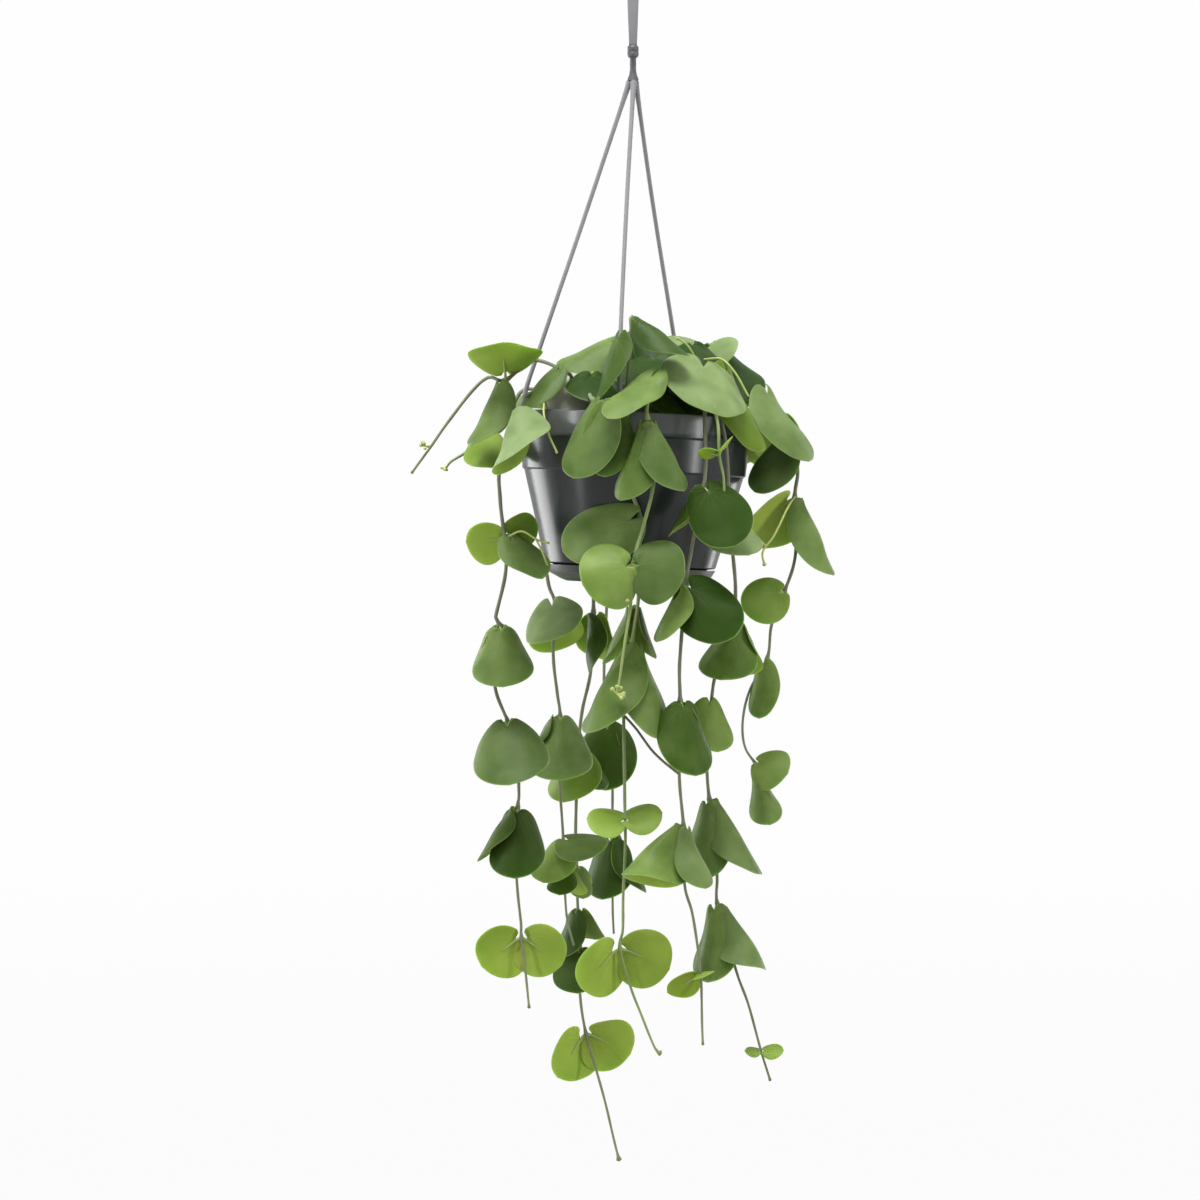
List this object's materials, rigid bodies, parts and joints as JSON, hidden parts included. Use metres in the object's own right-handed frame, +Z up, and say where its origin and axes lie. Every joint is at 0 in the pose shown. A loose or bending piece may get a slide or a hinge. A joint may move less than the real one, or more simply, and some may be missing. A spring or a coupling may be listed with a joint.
{
  "type": "potted dischidia",
  "caption": "Hanging pot of trailing dischidia with rounded leaves in pairs, a clip-on saucer and a three-strand hanger with a hook.",
  "frame": {"origin": "the point inside the hanger's hook where it bears on the rail that it hangs from", "axes": "+Z up along the hanger, -Y out of the front of the plant, +X to the right seen from the front"},
  "size_m": [0.2526, 0.2131, 0.7492],
  "materials": {
    "hanger_plastic": "moulded grey polypropylene, satin",
    "pot_plastic": "injection moulded dark grey polypropylene, glossy",
    "potting_mix": "peat and bark crumbs, matt",
    "stem": "thin wiry stem, olive turning brown, matt",
    "leaf": "fleshy leaf with a waxy satin skin, grey green above and yellow green below"
  },
  "bodies": {
    "root": {"pot": "pot_plastic", "saucer": "pot_plastic", "potting_mix": "potting_mix", "hanger_hook": "hanger_plastic", "hanger_collar": "hanger_plastic", "hanger_strand_left": "hanger_plastic", "hanger_strand_front": "hanger_plastic", "hanger_strand_back": "hanger_plastic", "vine_a_stem": "stem", "vine_a_leaves_1": "leaf", "vine_a_leaves_2": "leaf", "vine_a_leaves_3": "leaf", "vine_a_leaves_4": "leaf", "vine_a_leaves_5": "leaf", "vine_a_leaves_6": "leaf", "vine_b_stem": "stem", "vine_b_leaves_1": "leaf", "vine_b_leaves_2": "leaf", "vine_b_leaves_3": "leaf", "vine_c_stem": "stem", "vine_c_leaves_1": "leaf", "vine_c_leaves_2": "leaf", "vine_c_leaves_3": "leaf", "vine_c_leaves_4": "leaf", "vine_c_leaves_5": "leaf", "vine_d_stem": "stem", "vine_d_leaves_1": "leaf", "vine_d_leaves_2": "leaf", "vine_d_leaves_3": "leaf", "vine_e_stem": "stem", "vine_e_leaves_1": "leaf", "vine_e_leaves_2": "leaf", "vine_e_leaves_3": "leaf", "vine_f_stem": "stem", "vine_f_leaves_1": "leaf", "vine_f_leaves_2": "leaf", "vine_f_leaves_3": "leaf", "vine_f_leaves_4": "leaf", "vine_g_stem": "stem", "vine_g_leaves_1": "leaf", "vine_g_leaves_2": "leaf", "vine_g_leaves_3": "leaf", "vine_g_leaves_4": "leaf", "vine_g_leaves_5": "leaf", "vine_h_stem": "stem", "vine_h_leaves_1": "leaf", "vine_h_leaves_2": "leaf", "vine_h_leaves_3": "leaf", "vine_h_leaves_4": "leaf", "vine_i_stem": "stem", "vine_i_leaves_1": "leaf", "vine_i_leaves_2": "leaf", "vine_i_leaves_3": "leaf", "vine_i_leaves_4": "leaf", "vine_i_leaves_5": "leaf", "vine_i_leaves_6": "leaf", "vine_j_stem": "stem", "vine_j_leaves_1": "leaf", "vine_j_leaves_2": "leaf", "vine_k_stem": "stem"}
  },
  "joints": []
}
